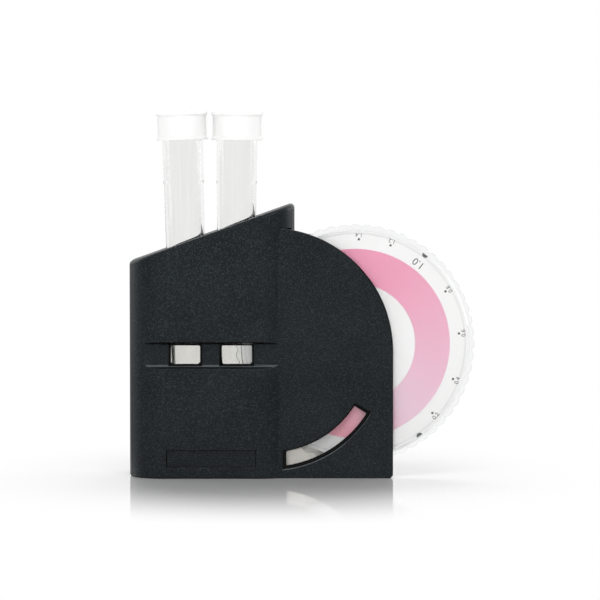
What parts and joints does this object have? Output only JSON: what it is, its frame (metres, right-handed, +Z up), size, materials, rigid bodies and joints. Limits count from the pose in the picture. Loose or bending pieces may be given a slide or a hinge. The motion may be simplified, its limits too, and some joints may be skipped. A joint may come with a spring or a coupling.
{
  "type": "water test colour comparator",
  "caption": "Upright colour comparator: capped viewing tubes in a sloped black housing, and a scalloped colour disc that slides into a side slot and turns to match a water sample.",
  "frame": {"origin": "on the base, under the axis of the disc's seat, on the parting plane between the two shells", "axes": "+X to the viewer's right, +Y from the front face to the back, +Z up along the tubes"},
  "size_m": [0.1488, 0.034, 0.1579],
  "materials": {
    "housing_black": "fine spark-textured moulding",
    "inner_black": "plain black moulding",
    "opal_plastic": "opal",
    "backing_film": "pale matt film",
    "clear_plastic": "clear moulded plastic",
    "scale_print": "pale film with black figures",
    "colour_print": "graduated pink film",
    "hub_plastic": "plain moulding",
    "tube_plastic": "clear moulded plastic",
    "cap_white": "soft white moulding",
    "screw_steel": "zinc plated"
  },
  "bodies": {
    "housing": {"front_shell": "housing_black", "rear_shell": "housing_black", "tube_carrier": "inner_black", "diffuser_plate": "opal_plastic", "scale_backing": "backing_film", "block_screws": "screw_steel", "wing_screw": "screw_steel", "carrier_screws": "screw_steel"},
    "hub": {"disc_hub": "hub_plastic"},
    "disc": {"disc_plate": "clear_plastic", "scale_film": "scale_print", "colour_film": "colour_print", "cover_disc": "clear_plastic"},
    "left_tube": {"left_tube": "tube_plastic"},
    "right_tube": {"right_tube": "tube_plastic"},
    "left_cap": {"left_tube_cap": "cap_white"},
    "right_cap": {"right_tube_cap": "cap_white"}
  },
  "joints": [
    {"name": "disc_slide", "type": "slide", "parent": "housing", "child": "hub", "axis": [0.9958, 0, 0.0915], "range_m": [-0.03716, 0.07]},
    {"name": "disc_spin", "type": "hinge", "parent": "hub", "child": "disc", "pos_m": [0.037, 0, 0.0579], "axis": [0, 1, 0], "continuous": true},
    {"name": "left_tube_lift", "type": "slide", "parent": "housing", "child": "left_tube", "axis": [-0.027, 0, 0.9996], "range_m": [0, 0.12]},
    {"name": "right_tube_lift", "type": "slide", "parent": "housing", "child": "right_tube", "axis": [0.0065, 0, 1], "range_m": [0, 0.12]},
    {"name": "left_cap_pull", "type": "slide", "parent": "left_tube", "child": "left_cap", "axis": [-0.027, 0, 0.9996], "range_m": [0, 0.012]},
    {"name": "right_cap_pull", "type": "slide", "parent": "right_tube", "child": "right_cap", "axis": [0.0065, 0, 1], "range_m": [0, 0.012]}
  ]
}
